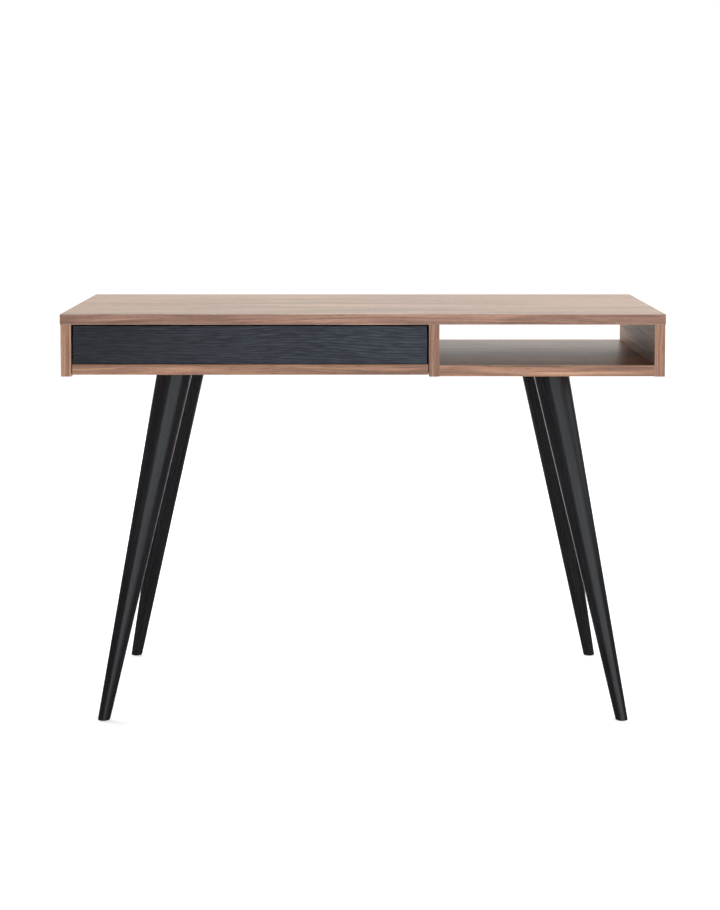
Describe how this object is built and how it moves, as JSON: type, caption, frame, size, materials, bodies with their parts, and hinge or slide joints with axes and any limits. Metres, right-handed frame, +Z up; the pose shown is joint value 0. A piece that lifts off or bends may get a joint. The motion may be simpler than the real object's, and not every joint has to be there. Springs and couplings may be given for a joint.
{
  "type": "writing desk",
  "caption": "Walnut writing desk with a wide black-fronted drawer beside an open shelf bay, on splayed tapered legs.",
  "frame": {"origin": "on the floor, under the middle of the top board", "axes": "+Z up, +X to the right of someone standing in front, the front with the drawer faces -Y"},
  "size_m": [1.1, 0.55, 0.75],
  "materials": {
    "walnut_top": "matt lacquered walnut veneer, pale",
    "walnut": "matt lacquered walnut veneer",
    "black_oak": "black-stained open-grain oak",
    "black_stained_wood": "black-stained turned wood, satin",
    "beech": "plain",
    "drawer_box_wood": "lacquered solid birch",
    "drawer_bottom_ply": "lacquered birch plywood",
    "black_nylon": "matt",
    "zinc_plated_steel": "zinc plated",
    "black_zinc_steel": "black zinc plated",
    "cage_steel": "plain pressed strip",
    "bearing_steel": "polished"
  },
  "bodies": {
    "desk": {"top_board": "walnut_top", "left_side_panel": "walnut", "right_side_panel": "walnut", "divider_panel": "walnut", "shelf_board": "walnut", "base_board": "walnut", "back_panel": "walnut", "top_dowels": "beech", "shelf_dowels": "beech", "base_dowels": "beech", "back_panel_dowels": "beech", "front_left_leg": "black_stained_wood", "rear_left_leg": "black_stained_wood", "front_right_leg": "black_stained_wood", "rear_right_leg": "black_stained_wood", "foot_glides": "black_nylon", "leg_inserts": "zinc_plated_steel", "hanger_bolts": "zinc_plated_steel", "left_cabinet_member": "black_zinc_steel", "right_cabinet_member": "black_zinc_steel", "left_cabinet_member_screws": "zinc_plated_steel", "right_cabinet_member_screws": "zinc_plated_steel"},
    "drawer": {"drawer_front": "black_oak", "drawer_lip": "walnut", "drawer_box_front": "drawer_box_wood", "drawer_left_side": "drawer_box_wood", "drawer_right_side": "drawer_box_wood", "drawer_box_back": "drawer_box_wood", "drawer_bottom": "drawer_bottom_ply", "front_screws": "zinc_plated_steel", "lip_screws": "zinc_plated_steel", "left_drawer_member": "black_zinc_steel", "right_drawer_member": "black_zinc_steel", "left_drawer_member_screws": "zinc_plated_steel", "right_drawer_member_screws": "zinc_plated_steel"},
    "left_runner_middle": {"left_middle_member": "black_zinc_steel"},
    "left_runner_outer_cage": {"left_outer_ball_cage": "cage_steel", "left_outer_balls": "bearing_steel"},
    "left_runner_inner_cage": {"left_inner_ball_cage": "cage_steel", "left_inner_balls": "bearing_steel"},
    "right_runner_middle": {"right_middle_member": "black_zinc_steel"},
    "right_runner_outer_cage": {"right_outer_ball_cage": "cage_steel", "right_outer_balls": "bearing_steel"},
    "right_runner_inner_cage": {"right_inner_ball_cage": "cage_steel", "right_inner_balls": "bearing_steel"}
  },
  "joints": [
    {"name": "drawer_slide", "type": "slide", "parent": "desk", "child": "drawer", "axis": [0, -1, 0], "range_m": [0, 0.4]},
    {"name": "left_runner_middle_slide", "type": "slide", "parent": "desk", "child": "left_runner_middle", "axis": [0, -1, 0], "range_m": [0, 0.2]},
    {"name": "left_runner_outer_cage_slide", "type": "slide", "parent": "desk", "child": "left_runner_outer_cage", "axis": [0, -1, 0], "range_m": [0, 0.1]},
    {"name": "left_runner_inner_cage_slide", "type": "slide", "parent": "desk", "child": "left_runner_inner_cage", "axis": [0, -1, 0], "range_m": [0, 0.3]},
    {"name": "right_runner_middle_slide", "type": "slide", "parent": "desk", "child": "right_runner_middle", "axis": [0, -1, 0], "range_m": [0, 0.2]},
    {"name": "right_runner_outer_cage_slide", "type": "slide", "parent": "desk", "child": "right_runner_outer_cage", "axis": [0, -1, 0], "range_m": [0, 0.1]},
    {"name": "right_runner_inner_cage_slide", "type": "slide", "parent": "desk", "child": "right_runner_inner_cage", "axis": [0, -1, 0], "range_m": [0, 0.3]}
  ],
  "couplings": [
    {"joint": "left_runner_middle_slide", "follows": "drawer_slide", "ratio": 0.5},
    {"joint": "left_runner_outer_cage_slide", "follows": "drawer_slide", "ratio": 0.25},
    {"joint": "left_runner_inner_cage_slide", "follows": "drawer_slide", "ratio": 0.75},
    {"joint": "right_runner_middle_slide", "follows": "drawer_slide", "ratio": 0.5},
    {"joint": "right_runner_outer_cage_slide", "follows": "drawer_slide", "ratio": 0.25},
    {"joint": "right_runner_inner_cage_slide", "follows": "drawer_slide", "ratio": 0.75}
  ]
}
